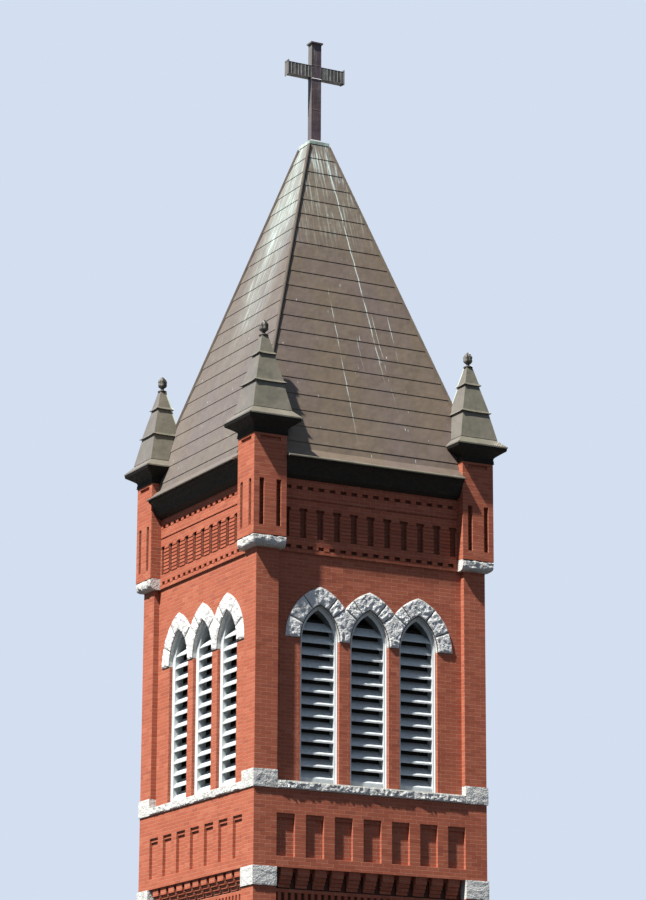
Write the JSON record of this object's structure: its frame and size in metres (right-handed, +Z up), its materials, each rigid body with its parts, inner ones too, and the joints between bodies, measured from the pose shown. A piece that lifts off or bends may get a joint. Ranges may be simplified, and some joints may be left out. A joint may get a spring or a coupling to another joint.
{
  "type": "bell tower",
  "caption": "Square red brick bell tower with granite trim, louvred pointed lancets, slotted frieze, corner pinnacles and a steep metal-clad spire topped by a cross.",
  "frame": {"origin": "middle of the square base, on the ground", "axes": "+Z up, -Y the front face with the picture's wider view, -X the face to its left; the cross arm lies along X"},
  "size_m": [5.262, 5.262, 24.58],
  "materials": {
    "red_brick": "matte fired brick in mortar",
    "granite": "rock-faced",
    "louvre_paint": "weathered white paint",
    "floor_boards": "bare boards",
    "dark_cornice_paint": "dark weathered sheet",
    "brown_cornice_metal": "dark brown sheet",
    "pinnacle_metal": "olive brown weathered sheet",
    "weathered_copper": "brown patina with pale streaks",
    "verdigris_copper": "green patina",
    "cross_metal": "brown patina"
  },
  "bodies": {
    "root": {"belfry_floor": "floor_boards", "belfry_wall_back": "red_brick", "belfry_wall_front": "red_brick", "belfry_wall_left": "red_brick", "belfry_wall_right": "red_brick", "belt_granite_blocks": "granite", "belt_sills": "granite", "corbel_stones": "granite", "corbel_tables": "red_brick", "corner_pier_back_left": "red_brick", "corner_pier_back_right": "red_brick", "corner_pier_front_left": "red_brick", "corner_pier_front_right": "red_brick", "cross": "cross_metal", "dentil_bands": "red_brick", "frieze_back": "red_brick", "frieze_front": "red_brick", "frieze_left": "red_brick", "frieze_right": "red_brick", "granite_base": "granite", "hip_battens": "weathered_copper", "lancet_arches": "granite", "louvres_back": "louvre_paint", "louvres_front": "louvre_paint", "louvres_left": "louvre_paint", "louvres_right": "louvre_paint", "lower_granite_blocks": "granite", "lower_wall_back": "red_brick", "lower_wall_front": "red_brick", "lower_wall_left": "red_brick", "lower_wall_right": "red_brick", "main_cornice": "dark_cornice_paint", "panel_wall_back": "red_brick", "panel_wall_front": "red_brick", "panel_wall_left": "red_brick", "panel_wall_right": "red_brick", "pinnacle_cornices": "brown_cornice_metal", "pinnacle_finials": "pinnacle_metal", "pinnacle_roofs": "pinnacle_metal", "pinnacle_shafts": "red_brick", "spire": "weathered_copper", "spire_cap": "verdigris_copper"}
  },
  "joints": []
}
